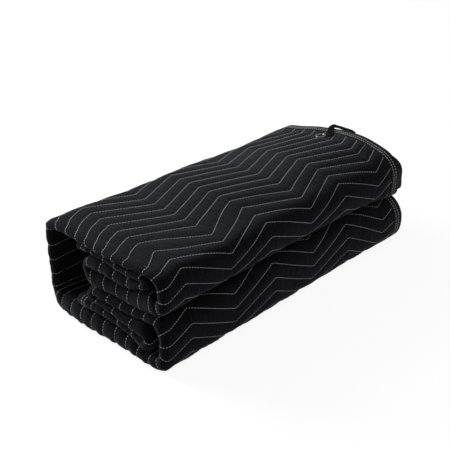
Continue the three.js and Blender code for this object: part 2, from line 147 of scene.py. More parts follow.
# The middle of the cloth through one tier, seen along the route: the plane's axes are X and
# the height above the tier's middle. The first panel lies outermost.
OUTER_END_FOLD = TIER_HALF - HALF_LENGTH
INNER_END_FOLD = OUTER_END_FOLD + 4
FAR_FOLD = HALF_LENGTH - 5
LAYERS = [
    run(HALF_LENGTH, OUTER_END_FOLD, 1.5 * LAYER_PITCH, 5.0, "outer hem"),
    fold(OUTER_END_FOLD, 0, 1.5 * LAYER_PITCH, 90, 270, 2.3),
    run(OUTER_END_FOLD, FAR_FOLD, -1.5 * LAYER_PITCH, 25.0, "far fold"),
    fold(FAR_FOLD, -LAYER_PITCH, LAYER_PITCH / 2, -90, 90, 1.6, "far fold"),
    run(FAR_FOLD, INNER_END_FOLD, -0.5 * LAYER_PITCH, 25.0, "far fold"),
    fold(INNER_END_FOLD, 0, LAYER_PITCH / 2, 270, 90, 1.6),
    run(INNER_END_FOLD, HALF_LENGTH, 0.5 * LAYER_PITCH, 25.0, "inner hem"),
]


def route_length(legs):
    """The length of a route."""
    return sum(leg["length"] for leg in legs)


def leg_start(legs, number):
    """How far along a route one of its legs starts."""
    return route_length(legs[:number])


ROUTE_LENGTH = route_length(ROUTE)
LAYERS_LENGTH = route_length(LAYERS)
UPPER_FRONT_AT, TOP_AT, SPINE_AT, BOTTOM_AT, LOWER_FRONT_AT, LOWER_FRONT_END = (
    leg_start(ROUTE, number) for number in (5, 6, 7, 10, 11, 12))
FIRST_EXPOSED = UPPER_FRONT_AT - 45  # the stretch of the route that faces out of the block
LAST_EXPOSED = LOWER_FRONT_END + 45
FIRST_HOLLOW = TOP_AT + 130  # the stretch that faces the spine's hollow
LAST_HOLLOW = BOTTOM_AT + 90
END_FOLD_AT = leg_start(LAYERS, 1)  # where the first panel turns over into the next
SECOND_FACE_AT = leg_start(LAYERS, 2)
SECOND_FACE_END = leg_start(LAYERS, 3)


def ease(value, low, high):
    """A smooth step from 0 at low to 1 at high."""
    t = np.clip((np.asarray(value, float) - low) / (high - low), 0.0, 1.0)
    return t * t * (3 - 2 * t)


def wave(distance, length, turn):
    """A sine wave along a distance."""
    return np.sin(2 * math.pi * np.asarray(distance, float) / length + turn)


def along(legs, distance):
    """The points and normals at distances along a route, and each one's leg."""
    distance = np.asarray(distance, float)
    ends = np.cumsum([leg["length"] for leg in legs])
    number = np.minimum(np.searchsorted(ends, distance), len(legs) - 1)
    a, b, normal_a, normal_b = (np.zeros(distance.shape) for _ in range(4))
    for i, leg in enumerate(legs):
        here = number == i
        share = (distance[here] - (ends[i] - leg["length"])) / leg["length"]
        way = leg["start"] + (leg["end"] - leg["start"]) * share
        sign = 1 if leg["end"] > leg["start"] else -1
        if leg["kind"] == "run":
            a[here], b[here], normal_b[here] = way, leg["at"], sign
        elif leg["kind"] == "wall":
            a[here], b[here], normal_a[here] = leg["at"], way, -sign
        else:
            turn = np.radians(way)
            a[here] = leg["a"] + leg["radius"] * np.cos(turn)
            b[here] = leg["b"] + leg["radius"] * np.sin(turn)
            normal_a[here] = -sign * np.cos(turn)
            normal_b[here] = -sign * np.sin(turn)
    return a, b, normal_a, normal_b, number


def stations(legs, first, last, finer=1.0):
    """The distances of a route's stations, by each leg's own step."""
    found = []
    start = 0.0
    for leg in legs:
        count = max(1, round(leg["length"] / (leg["step"] * finer)))
        found.extend(start + leg["length"] * np.arange(count) / count)
        start += leg["length"]
    inside = [d for d in found if first + 2 < d < last - 2]
    return np.array([first, *inside, last])


# ---------------------------------------------------------------- how the stack has settled
def drift(kind, s):
    """How far the hem end of a panel has slipped along X."""
    at_upper_fold = 1 - ease(np.abs(s - UPPER_FRONT_AT - BIG_RADIUS), 0, 80)
    if kind == "outer hem":
        return 1.2 * wave(s, 310, 0.4) - 9 * at_upper_fold
    if kind == "inner hem":
        return 3 + 2.4 * wave(s, 52, 0.5) + 2 * wave(s, 240, 2) + 6 * at_upper_fold
    return 4 + 2.6 * wave(s, 44, 2) + 2 * wave(s, 300, 0) + 6 * at_upper_fold


def end_slip(s):
    """How far the folded end stands out, which is uneven from tier to tier."""
    return 2.4 * wave(s, 410, 1) + 1.4 * wave(s, 173, 0)


def top_height(x, y):
    """The top of the stack: level at the folded end, crowned towards the hem end."""
    crown_line = -41
    spread = np.where(y < crown_line, 103, 154)
    across = np.cos(math.pi / 2 * np.minimum(1, np.abs(y - crown_line) / spread)) ** 2
    crown = CROWN * ease(x, -260, HALF_LENGTH) * across
    slope = SPINE_DROP * ease(x, -280, 270) * ease(y, 50, 144)
    return STACK_HEIGHT + crown - slope + 1.5 * wave(x, 260, 1.2)


def crease_height(x, y):
    """The crease between the packets: raised along the front, least of all at its hem end."""
    front = 1 - ease(y, -144, -57)
    raised = 9.4 * (1 - 0.5 * ease(x, 205, HALF_LENGTH))
    return BACK_CREASE + front * (raised + 6.3 * np.cos(math.pi * x / (2 * HALF_LENGTH)))


# At the folded end the tiers are unevenly thick. Each row gives the boundaries between the
# tiers of a packet there, as shares of the packet's height, at one place along Y.
END_TIERS = [
    dict(y=-100, lower=(0.22, 0.5, 0.8), upper=(0.52, 0.72, 0.87)),
    dict(y=-50, lower=(0.38, 0.6, 0.8), upper=(0.38, 0.66, 0.86)),
    dict(y=0, lower=(0.43, 0.66, 0.82), upper=(0.43, 0.68, 0.86)),
]


def settled_share(x, y, share, packet):
    """The share of its packet's height at which a point has come to lie."""
    tiers = TIERS // 2
    tier = np.clip(np.floor(share * tiers), 0, tiers - 1).astype(int)
    front, middle, back = (np.array([0, *row[packet], 1]) for row in END_TIERS)
    first, second, third = (row["y"] for row in END_TIERS)

    def mark(k):
        to_middle = (middle - front)[k] * ease(y, first, second)
        return front[k] + to_middle + (back - middle)[k] * ease(y, second, third)

    settled = mark(tier) + (mark(tier + 1) - mark(tier)) * (share * tiers - tier)
    uneven = ease(-x, 150, 290) * (1 - ease(-y, 105, 130))
    return share + (settled - share) * uneven


def squared(y, z, centre_y, centre_z, squareness):
    """Push the round of a fold out towards a square corner."""
    dy = y - centre_y
    dz = z - centre_z
    reach = np.maximum(np.hypot(dy, dz), 1e-9)
    share = np.abs(dy / reach) ** squareness + np.abs(dz / reach) ** squareness
    scale = share ** (-1 / squareness)
    return centre_y + scale * dy, centre_z + scale * dz


def settle(x, y, z):
    """Where a point of the even stack lies once the blanket has settled."""
    x, y, z = np.broadcast_arrays(*(np.asarray(value, float) for value in (x, y, z)))
    hem_end = ease(x, -250, HALF_LENGTH)
    corners = [
        ((y < FRONT_CENTRE) & (z >= MIDDLE), FRONT_CENTRE, UPPER_FOLDS,
         np.where(z > UPPER_FOLDS, 3.2 - 1.1 * hem_end, 3 + 2 * ease(x, 180, HALF_LENGTH))),
        ((y < FRONT_CENTRE) & (z < MIDDLE), FRONT_CENTRE, LOWER_FOLDS,
         np.where(z > LOWER_FOLDS, 2.5, 4.5 - 1.1 * hem_end)),
        ((y > SPINE_CENTRE) & (z > SPINE_TOP), SPINE_CENTRE, SPINE_TOP, np.full(z.shape, 3.0)),
        ((y > SPINE_CENTRE) & (z < SPINE_FOOT), SPINE_CENTRE, SPINE_FOOT, np.full(z.shape, 2.3)),
    ]
    out_y = y.copy()
    square_z = z.copy()
    for here, centre_y, centre_z, squareness in corners:
        out_y[here], square_z[here] = squared(y[here], z[here], centre_y, centre_z, squareness[here])
    crease = crease_height(x, out_y)
    top = top_height(x, out_y)
    lower_share = (square_z - UNDERSIDE) / (MIDDLE - UNDERSIDE)
    upper_share = (square_z - MIDDLE) / (TOPSIDE - MIDDLE)
    lower = crease * settled_share(x, out_y, lower_share, "lower")
    upper = crease + (top - crease) * settled_share(x, out_y, upper_share, "upper")
    out_z = np.where(square_z < MIDDLE, lower, upper)
    bulge = np.sin(math.pi * np.clip(out_z / BACK_CREASE, 0, 1))
    belly = BELLY * ease(x, 120, HALF_LENGTH) * ease(-out_y, 62, 144) * bulge
    return x, out_y - belly, out_z


def frame_shift():
    """From the middle of the even stack to the frame's origin, by the eyelet's place there."""
    low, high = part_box("eyelet")
    middle = (np.array(low) + np.array(high)) / 2
    return np.array([middle[0] / MM - EYELET_X, middle[1] / MM - EYELET_Y, 0.0])


SHIFT = frame_shift()
FLOOR_GAP = 0.05  # the least height of a point over the floor


def in_frame(x, y, z):
    """Points of the settled stack in the frame, in metres."""
    x, y, z = settle(x, y, z)
    points = np.stack([x, y, np.maximum(z, FLOOR_GAP)], axis=-1) + SHIFT
    return points * MM


def place(s, t, lift):
    """Places of the cloth at s along the route and t through the layers, off its middle.

    A negative lift is on the blanket's outer side.
    """
    s, t, lift = np.broadcast_arrays(*(np.asarray(value, float) for value in (s, t, lift)))
    x, height, normal_x, normal_up, number = along(LAYERS, t)
    x = x + lift * normal_x
    height = height + lift * normal_up
    slipped = x + end_slip(s) * ease(-x, 100, 280)
    for i, leg in enumerate(LAYERS):
        if leg["drift"]:
            slipped = slipped + np.where(number == i, drift(leg["drift"], s) * ease(x, 150, 280), 0)
    y, z, normal_y, normal_z, _ = along(ROUTE, s)
    return in_frame(slipped, y + height * normal_y, z + height * normal_z)


def facing(s, t, lift):
    """The directions that the blanket's outer side faces."""
    step = 0.5
    off = place(s, t, np.asarray(lift) - step) - place(s, t, lift)
    return off / np.maximum(np.linalg.norm(off, axis=-1, keepdims=True), 1e-12)


# ---------------------------------------------------------------- sizes and colours
def length_property(name, description, default):
    """A length in metres that a user may change."""
    return FloatProperty(name=name, description=description, default=default, min=0.0,
                         subtype="DISTANCE", unit="LENGTH", precision=4)


def colour_property(name, description, default):
    """A colour that a user may change, written as sRGB hex."""
    return FloatVectorProperty(name=name, description=description, default=linear(default),
                               size=4, min=0.0, max=1.0, subtype="COLOR")


def linear(code):
    """An sRGB hex colour as linear red, green, blue and alpha."""
    channels = [int(code[i:i + 2], 16) / 255 for i in (1, 3, 5)]
    return (*(c / 12.92 if c <= 0.04045 else ((c + 0.055) / 1.055) ** 2.4 for c in channels), 1.0)


class QuiltingSizes(bpy.types.PropertyGroup):
    """Sizes of the quilting and its stitches."""

    row_spacing: length_property("Row Spacing", "Between two rows of quilting", 0.0265)
    zigzag_length: length_property("Zigzag Length", "One full zigzag along a row", 0.197)
    zigzag_swing: length_property("Zigzag Swing", "Reach of a row to each side of its line", 0.0222)
    puff: length_property("Puff", "Rise of the cloth between two rows", 0.0016)
    stitch_pitch: length_property("Stitch Pitch", "From one stitch to the next", 0.005)
    stitch_length: length_property("Stitch Length", "Thread that shows in one stitch", 0.0045)
    thread_width: length_property("Thread Width", "Width of a stitch", 0.0015)


class TrimSizes(bpy.types.PropertyGroup):
    """Sizes of the bindings, the eyelet and the loop."""

    first_row: length_property("First Hem Row", "From the hem's edge to its first stitches", 0.0115)
    second_row: length_property("Second Hem Row", "From the hem's edge to its second stitches", 0.0185)
    hem_thread: length_property("Hem Thread Width", "Width of a stitch in the bindings", 0.0019)
    flange_radius: length_property("Eyelet Radius", "To the outside of the eyelet's flange", 0.0108)
    bore_radius: length_property("Bore Radius", "Radius of the eyelet's hole", 0.0058)
    eyelet_sides: IntProperty(name="Eyelet Sides", description="Faces round the eyelet",
                              default=72, min=12, max=128)
    webbing_thickness: length_property("Webbing Thickness", "Thickness of the loop", 0.0015)


class BlanketColours(bpy.types.PropertyGroup):
    """Colours of the blanket's materials."""

    cloth: colour_property("Cloth", "The dark threads of the woven cloth", "#070708")
    cloth_pale: colour_property("Cloth Highlights", "The worn threads of the cloth", "#1f1f23")
    tape: colour_property("Binding", "The edge tape", "#0c0c0e")
    webbing: colour_property("Webbing", "The loop's webbing", "#08080a")
    nickel: colour_property("Nickel", "The eyelet's plating", "#c9c8c5")
    thread: colour_property("Thread", "The stitching", "#ececec")
    floor: colour_property("Floor", "The studio floor", "#8f8f8f")


# ---------------------------------------------------------------- nodes and materials
def add_node(tree, kind, inputs=None, **settings):
    """Add a node with its settings, and set or link its inputs by socket name or number."""
    node = tree.nodes.new(kind)
    for name, value in settings.items():
        setattr(node, name, value)
    for socket, value in (inputs or {}).items():
        if isinstance(value, bpy.types.NodeSocket):
            tree.links.new(value, node.inputs[socket])
        else:
            node.inputs[socket].default_value = value
    return node


def new_material(name):
    """An empty material with its shader and output."""
    material = bpy.data.materials.new(name)
    material.use_nodes = True
    tree = material.node_tree
    tree.nodes.clear()
    shader = add_node(tree, "ShaderNodeBsdfPrincipled")
    add_node(tree, "ShaderNodeOutputMaterial", {"Surface": shader.outputs["BSDF"]})
    return material, tree, shader


def millimetres(tree):
    """The piece's own UV map, which is in metres, turned to millimetres."""
    uv = add_node(tree, "ShaderNodeUVMap", uv_map="cloth")
    return add_node(tree, "ShaderNodeVectorMath", {0: uv.outputs["UV"], "Scale": 1 / MM},
                    operation="SCALE").outputs[0]


def worked(tree, operation, *values, **settings):
    """The result of a sum on values or sockets."""
    return add_node(tree, "ShaderNodeMath", dict(enumerate(values)), operation=operation,
                    **settings).outputs[0]


def weighed(tree, value, weight, rest, **settings):
    """A value times its weight, added to the rest."""
    return worked(tree, "MULTIPLY_ADD", value, weight, rest, **settings)


def ripple(tree, value, pitch):
    """A sine wave of a value in millimetres, from -1 to 1."""
    return worked(tree, "SINE", worked(tree, "MULTIPLY", value, 2 * math.pi / pitch))


def weave_height(tree, mm, across, lengthwise):
    """The height of a plain weave with the given spacing of its threads."""
    split = add_node(tree, "ShaderNodeSeparateXYZ", {0: mm})
    warp = ripple(tree, split.outputs["X"], 2 * across)
    weft = ripple(tree, split.outputs["Y"], 2 * lengthwise)
    return worked(tree, "MULTIPLY", warp, weft)


def fleck(tree, vector, scale, detail, roughness=0.5):
    """A noise from 0 to 1."""
    return add_node(tree, "ShaderNodeTexNoise", {"Vector": vector, "Scale": scale, "Detail": detail,
                                                 "Roughness": roughness}).outputs[0]


def stretched_noise(tree, mm, along_row, across_row, detail=2.0):
    """A noise with features of the given lengths in millimetres along and across the rows."""
    scaled = add_node(tree, "ShaderNodeVectorMath", {0: mm, 1: (1 / along_row, 1 / across_row, 1.0)},
                      operation="MULTIPLY")
    return fleck(tree, scaled.outputs[0], 1.0, detail, 0.6)


def tint(tree, shader, factor, first, second):
    """Colour a shader from a first colour to a second one."""
    mixed = add_node(tree, "ShaderNodeMix", {"Factor": factor, "A": first, "B": second},
                     data_type="RGBA")
    tree.links.new(mixed.outputs["Result"], shader.inputs["Base Color"])


def emboss(tree, shader, height, strength, depth):
    """Give a shader a relief of a depth in millimetres."""
    bump = add_node(tree, "ShaderNodeBump", {"Strength": strength, "Distance": depth * MM,
                                             "Height": height})
    tree.links.new(bump.outputs["Normal"], shader.inputs["Normal"])


def set_sockets(shader, values):
    """Set a shader's own sockets by name."""
    for name, value in values.items():
        shader.inputs[name].default_value = value


def cloth_material(colours):
    """Black woven polyester-cotton cloth: matt and grainy. Painted shade darkens it down the grooves of
    its rows, and it is paler on the puffs between them, where it is worn.

    Its real threads are 0.5 mm apart, too fine to show, so the weave is drawn at 1.6 mm. Thick
    and thin yarns streak it both ways, and the quilting draws small creases across its rows.
    """
    material, tree, shader = new_material("Woven Polyester Cotton Cloth")
    mm = millimetres(tree)
    weave = weave_height(tree, mm, 1.6, 1.6)
    weft = stretched_noise(tree, mm, 16, 3)
    warp = stretched_noise(tree, mm, 3, 16)
    clouds = stretched_noise(tree, mm, 56, 56, 4.0)
    creases = stretched_noise(tree, mm, 9, 34, 3.0)
    puff = add_node(tree, "ShaderNodeAttribute", attribute_name="puff")
    # Painted shade: the cloth is darker down the grooves of the rows, where the puff is 0, and paler on
    # the puffs, which are also worn.
    groove_shade_and_wear = weighed(tree, puff.outputs["Fac"], 0.25, -1.2)
    streaked = weighed(tree, warp, 1.2, weighed(tree, weft, 1.2, groove_shade_and_wear))
    clouded = weighed(tree, clouds, 0.5, streaked)
    threads = weighed(tree, weave, 0.12, clouded, use_clamp=True)
    tint(tree, shader, threads, colours.cloth, colours.cloth_pale)
    grain = weighed(tree, weave, 0.15, weighed(tree, weft, 0.5, warp))
    emboss(tree, shader, weighed(tree, creases, 2.6, grain), 0.6, 1.0)
    set_sockets(shader, {"Roughness": 0.88, "Specular IOR Level": 0.1, "Sheen Weight": 0.22,
                         "Sheen Roughness": 0.45, "Sheen Tint": linear("#d8dcea")})
    return material


def tape_material(colours):
    """Black polypropylene binding tape: a tight rib across its width with a dull gloss.

    Its real ribs are 0.9 mm apart, and they are drawn at 1.8 mm so that they show.
    """
    material, tree, shader = new_material("Woven Polypropylene Tape")
    mm = millimetres(tree)
    weave = weave_height(tree, mm, 1.8, 2.6)
    worn = weighed(tree, weave, 0.3, fleck(tree, mm, 0.12, 4.0), use_clamp=True)
    tint(tree, shader, worn, colours.tape, colours.cloth_pale)
    emboss(tree, shader, weave, 0.5, 0.3)
    set_sockets(shader, {"Roughness": 0.75, "Specular IOR Level": 0.15, "Sheen Weight": 0.1})
    return material


def webbing_material(colours):
    """Black polypropylene webbing: a raised herringbone of stiff yarn, nearly matt.

    Its real yarns are 1 mm apart, and they are drawn at 1.7 mm so that they show.
    """
    material, tree, shader = new_material("Polypropylene Webbing")
    split = add_node(tree, "ShaderNodeSeparateXYZ", {0: millimetres(tree)})
    across = worked(tree, "ABSOLUTE", split.outputs["Y"])
    yarn = ripple(tree, weighed(tree, across, 0.8, split.outputs["X"]), 1.7)
    relief = weighed(tree, yarn, 0.6, ripple(tree, split.outputs["Y"], 3.4))
    raised = weighed(tree, relief, 0.2, 0.15, use_clamp=True)
    tint(tree, shader, raised, colours.webbing, colours.cloth_pale)
    emboss(tree, shader, relief, 0.6, 0.35)
    set_sockets(shader, {"Roughness": 0.75, "Specular IOR Level": 0.15})
    return material


def nickel_material(colours):
    """Nickel-plated brass, stamped and tumbled: a bright ring with fine handling scratches."""
    material, tree, shader = new_material("Nickel Plated Brass")
    where = add_node(tree, "ShaderNodeTexCoord")
    scratches = fleck(tree, where.outputs["Object"], 900.0, 3.0)
    dull = add_node(tree, "ShaderNodeMapRange", {"Value": scratches, "To Min": 0.14, "To Max": 0.34})
    tree.links.new(dull.outputs["Result"], shader.inputs["Roughness"])
    emboss(tree, shader, scratches, 0.08, 0.1)
    set_sockets(shader, {"Base Color": colours.nickel, "Metallic": 1.0})
    return material


def thread_material(colours):
    """White twisted polyester thread: bright, soft, with a faint grey in its twist."""
    material, tree, shader = new_material("Polyester Thread")
    where = add_node(tree, "ShaderNodeTexCoord")
    twist = fleck(tree, where.outputs["Object"], 700.0, 2.0)
    shade = add_node(tree, "ShaderNodeMapRange", {"Value": twist, "To Min": 0.15, "To Max": 0.0})
    tint(tree, shader, shade.outputs["Result"], colours.thread, linear("#8c8c90"))
    emboss(tree, shader, twist, 0.3, 0.2)
    set_sockets(shader, {"Roughness": 0.55, "Sheen Weight": 0.2})
    return material


# ---------------------------------------------------------------- meshes
def new_piece(name, points, faces, material, uv=None):
    """A closed, smooth mesh object with its faces turned out and its UV map in metres."""
    mesh = bpy.data.meshes.new(name)
    mesh.from_pydata([tuple(p) for p in points], [], faces)
    turn_out(mesh)
    if uv is not None:
        vertex = np.empty(len(mesh.loops), dtype=np.int32)
        mesh.loops.foreach_get("vertex_index", vertex)
        layer = mesh.uv_layers.new(name="cloth")
        layer.data.foreach_set("uv", np.asarray(uv, dtype=np.float32)[vertex].ravel())
    mesh.polygons.foreach_set("use_smooth", [True] * len(mesh.polygons))
    mesh.materials.append(material)
    mesh.update()
    piece = bpy.data.objects.new(name, mesh)
    bpy.context.scene.collection.objects.link(piece)
    return piece


def turn_out(mesh):
    """Make the faces of a closed mesh agree and point outwards."""
    work = bmesh.new()
    work.from_mesh(mesh)
    bmesh.ops.recalc_face_normals(work, faces=work.faces)
    if work.calc_volume(signed=True) < 0:
        bmesh.ops.reverse_faces(work, faces=work.faces)
    work.to_mesh(mesh)
    work.free()


def grid_faces(rows, columns, first=0):
    """The quads of a grid of points that are numbered along its rows."""
    corner = first + np.arange(rows - 1)[:, None] * columns + np.arange(columns - 1)[None, :]
    return np.stack([corner, corner + columns, corner + columns + 1, corner + 1], axis=-1).reshape(-1, 4)


def zip_strip(first, first_at, second, second_at):
    """Triangles that join two lines of points, given where each point is along its line."""
    faces = []
    i = j = 0
    while i + 1 < len(first) or j + 1 < len(second):
        if j + 1 == len(second) or (i + 1 < len(first) and first_at[i + 1] <= second_at[j + 1]):
            faces.append((first[i], first[i + 1], second[j]))
            i += 1
        else:
            faces.append((first[i], second[j + 1], second[j]))
            j += 1
    return faces


def sweep(rings):
    """The faces of a closed section carried through rings of points, with a cap on each end."""
    count, sides = rings.shape[:2]
    faces = []
    for i in range(count - 1):
        for j in range(sides):
            k = (j + 1) % sides
            faces.append((i * sides + j, i * sides + k, (i + 1) * sides + k, (i + 1) * sides + j))
    faces.append(tuple(range(sides)))
    faces.append(tuple((count - 1) * sides + j for j in range(sides)))
    return faces


def finish_piece(piece, slot, *nodes):
    """Let a piece ride on the blanket, and hide the nodes that it stands for; its slot is not used."""
    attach(piece, "root")
    if nodes:
        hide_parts(*nodes)


# ---------------------------------------------------------------- the quilted cloth
ROW_START = 4.1  # from the side hem to the first row's line
LINES_PER_ROW = 5
HEM_FADE = 60  # over which the rows straighten towards the side hems
ZIGZAG_PEAK = -52  # where a row swings furthest towards the top of the front, along X
PEAK_LEAN = 0.08  # how far a peak moves along X for each distance along the route
PEAK_SOFTNESS = 0.012  # of a zigzag's corners, in zigzag lengths
PUCKER = 0.28  # height of the small puckers beside the rows
CRUMPLE = 0.35  # height of the creases over the folded end


def zigzag(line, t, sizes):
    """How far a row has swung along the route, at a distance through the layers."""
    length = sizes.zigzag_length / MM
    # A row runs straight over the folded end, and the peaks lean a little from row to row.
    straight = 0.85 * np.clip(t - (END_FOLD_AT - 5), 0, 110)
    round_the_back = ease(line, SPINE_AT, LOWER_FRONT_AT)
    lean = PEAK_LEAN * (np.clip(line, 480, 760) - 585) * (1 - round_the_back) + 4 * round_the_back
    turns = (HALF_LENGTH - t + straight - ZIGZAG_PEAK - lean) / length
    off_peak = np.abs(turns - np.round(turns))
    softened = np.hypot(off_peak, PEAK_SOFTNESS) - np.hypot(0.5 - off_peak, PEAK_SOFTNESS)
    return -2 * softened * sizes.zigzag_swing / MM


def even_distance(s, t):
    """The distance along the route as measured over the settled cloth, at one t.

    The rows were sewn while the cloth lay flat, so they're evenly spaced by this distance.
    It is the route's own distance where the top begins, and again at both side hems.
    """
    points = place(s, t, -HALF_CLOTH) / MM
    steps = np.linalg.norm(np.diff(points, axis=0), axis=1)
    measured = np.concatenate([[0.0], np.cumsum(steps)])
    extra = measured - s
    extra -= np.interp(TOP_AT, s, extra)
    shown = np.clip(s, FIRST_EXPOSED, LAST_EXPOSED)
    fade = ease(s, BINDING_WIDTH, FIRST_EXPOSED) * ease(ROUTE_LENGTH - s, BINDING_WIDTH,
                                                        ROUTE_LENGTH - LAST_EXPOSED)
    return s + np.interp(shown, s, extra) * fade


def row_skew(even, t):
    """How far the rows lie along the route from their lines, as the blanket is folded askew."""
    x = np.clip(HALF_LENGTH - t, -HALF_LENGTH - 8, HALF_LENGTH)
    upper_front = 7 + 0.023 * x
    top = 12 - 0.032 * x
    lower_front = 18.5 - 0.042 * x
    over_the_fold = ease(even, TOP_AT + 5, TOP_AT + 45)
    round_the_back = ease(even, SPINE_AT, LOWER_FRONT_AT)
    upper = upper_front + (top - upper_front) * over_the_fold
    # On top, the rows are drawn down towards the front where they turn over the folded end.
    on_top = ease(even, TOP_AT + 10, TOP_AT + 130) * (1 - ease(even, 770, 810))
    drawn = 18 * np.clip((-x - 262) / 43, 0, None) ** 2 * on_top
    return upper + (lower_front - upper) * round_the_back - drawn


def on_row(line, t, sizes):
    """The distance along the route of a line that follows the rows, on a grid of both."""
    window = ease(line, 0, HEM_FADE) * ease(ROUTE_LENGTH - line, 0, HEM_FADE)
    even = line + zigzag(line, t, sizes) * window
    even = even + row_skew(even, t) * window
    s = np.linspace(0, ROUTE_LENGTH, 600)
    found = np.empty(line.shape)
    for column in range(line.shape[1]):
        # The panels behind the first one are sewn to the same rows.
        own_t = min(t[0, column], END_FOLD_AT)
        found[:, column] = np.interp(even[:, column], even_distance(s, own_t), s)
    return found


def puffed(line, sizes):
    """How far the cloth has risen between its rows, from 0 on a row to 1."""
    rows = (line - ROW_START) / (sizes.row_spacing / MM)
    return np.abs(np.sin(math.pi * rows)) ** 0.65


def eyelet_press(s, t):
    """How far the cloth is pressed flat round the eyelet."""
    off = np.hypot(s - TOP_AT + FRONT_CENTRE - EYELET_Y, HALF_LENGTH - t - EYELET_X)
    return 1 - ease(off, 11, 22)


def off_tape(s, t):
    """How thick the cloth is beside the bindings, from 0 under a tape to 1 clear of it."""
    hem = np.minimum(np.minimum(t, LAYERS_LENGTH - t), np.minimum(s, ROUTE_LENGTH - s))
    return ease(hem, BINDING_WIDTH - 2, BINDING_WIDTH + 7)


def outer_lift(line, s, t, sizes):
    """The lift of the blanket's outer side, with its puffs and the puckers beside its rows."""
    puff = puffed(line, sizes)
    row_depth = HALF_CLOTH - 0.6 * sizes.puff / MM
    small = wave(t, 17.3, 0.21 * line) * wave(t + 0.6 * s, 61, 1.3)
    pucker = PUCKER * small * puff * (1 - 0.4 * puff)
    # The folded end is crumpled, with its puffs drawn in.
    calm = 1 - 0.5 * ease(t, END_FOLD_AT - 6, END_FOLD_AT + 4)
    past_end = ease(t, SECOND_FACE_AT + 5, SECOND_FACE_AT + 45)
    at_end = ease(t, END_FOLD_AT - 25, END_FOLD_AT) * (1 - past_end)
    crumple = CRUMPLE * at_end * (wave(s, 27, t / 11) + wave(s, 16, 2 - t / 7))
    full = row_depth + puff * calm * sizes.puff / MM + pucker + crumple
    flat = np.maximum(1 - off_tape(line, t), eyelet_press(s, t))
    return -(UNDER_TAPE + (full - UNDER_TAPE) * (1 - flat))


def cloth_lines(sizes):
    """The lines across the route that the outer side's grid is built on."""
    step = sizes.row_spacing / MM / LINES_PER_ROW
    first = ROW_START % step
    lines = np.arange(first, ROUTE_LENGTH, step)
    inside = lines[(lines > RAW_EDGE + 2) & (lines < ROUTE_LENGTH - RAW_EDGE - 2)]
    return np.array([RAW_EDGE, *inside, ROUTE_LENGTH - RAW_EDGE])


def cloth_mesh(sizes):
    """The points, faces, UVs and puffs of the whole cloth, as one closed sheet."""
    lines = cloth_lines(sizes)
    across = stations(LAYERS, RAW_EDGE, LAYERS_LENGTH - RAW_EDGE)
    line, t = np.meshgrid(lines, across, indexing="ij")
    s = on_row(line, t, sizes)
    outer = place(s, t, outer_lift(line, s, t, sizes))

    inner_lines = stations(ROUTE, RAW_EDGE, ROUTE_LENGTH - RAW_EDGE)
    inner_across = stations(LAYERS, RAW_EDGE, LAYERS_LENGTH - RAW_EDGE, 4.0)
    inner_s, inner_t = np.meshgrid(inner_lines, inner_across, indexing="ij")
    inner_lift = UNDER_TAPE + (HALF_CLOTH - UNDER_TAPE) * off_tape(inner_s, inner_t)
    inner = place(inner_s, inner_t, inner_lift)

    first = line.size
    outer_number = np.arange(first).reshape(line.shape)
    inner_number = first + np.arange(inner_s.size).reshape(inner_s.shape)
    faces = grid_faces(*line.shape).tolist() + grid_faces(*inner_s.shape, first).tolist()
    for side in (0, -1):
        faces += zip_strip(outer_number[side], across, inner_number[side], inner_across)
        faces += zip_strip(outer_number[:, side], lines, inner_number[:, side], inner_lines)
    points = np.concatenate([outer.reshape(-1, 3), inner.reshape(-1, 3)])
    uv = np.concatenate([np.stack([t, s], -1).reshape(-1, 2),
                         np.stack([inner_t, inner_s], -1).reshape(-1, 2)]) * MM
    puffs = np.concatenate([puffed(line, sizes).ravel(), np.full(inner_s.size, 0.5)])
    return points, faces, uv, puffs


HOLE_DEPTH = 5.2  # through the top layer of the cloth and short of the next one
HOLE_HEAD = 4.0  # how far above the cloth the hole's cutter starts
HOLE_MARGIN = 0.5  # from the bore to the hole in the cloth, within the barrel's wall
HOLE_SIDES = 32


def cut_eyelet_hole(cloth, bore):
    """Cut the eyelet's hole, for a bore in millimetres, through the cloth's top layer."""
    radius = bore + HOLE_MARGIN
    ends = [(radius, HOLE_HEAD), (radius, -HOLE_DEPTH)]
    points = np.array(lathe_points(ends, HOLE_SIDES, top_frame(EYELET_X, EYELET_Y)))
    rings = points.reshape(HOLE_SIDES, 2, 3).transpose(1, 0, 2)
    cutter = new_piece("eyelet_hole", rings.reshape(-1, 3), sweep(rings), cloth.data.materials[0])
    modifier = cloth.modifiers.new("Eyelet Hole", "BOOLEAN")
    modifier.operation = "DIFFERENCE"
    modifier.solver = "EXACT"
    modifier.object = cutter
    evaluated = cloth.evaluated_get(bpy.context.evaluated_depsgraph_get())
    pierced = bpy.data.meshes.new_from_object(evaluated)
    cloth.modifiers.remove(modifier)
    bpy.data.objects.remove(cutter)
    whole = cloth.data
    cloth.data = pierced
    bpy.data.meshes.remove(whole)
    pierced.name = cloth.name


class BLANKET_OT_cloth(bpy.types.Operator):
    """Build the quilted cloth as one folded sheet"""

    bl_idname = "blanket.cloth"
    bl_label = "Quilted Cloth"

    def execute(self, context):
        sizes = context.scene.blanket_quilting
        points, faces, uv, puffs = cloth_mesh(sizes)
        cloth = new_piece("folded_quilted_cloth", points, faces,
                          cloth_material(context.scene.blanket_colours), uv)
        attribute = cloth.data.attributes.new("puff", "FLOAT", "POINT")
        attribute.data.foreach_set("value", puffs.astype(np.float32))
        cut_eyelet_hole(cloth, context.scene.blanket_trim.bore_radius / MM)
        finish_piece(cloth, "quilted_cloth", "quilted_cloth")
        return {"FINISHED"}


# ---------------------------------------------------------------- edge bindings
TAPE_CROWN = 0.12  # how far the tape stands up between its rows of stitches
TAPE_DIP = 0.3  # how far the stitches draw it in
TAPE_WANDER = 0.35  # how unevenly its inner edge runs


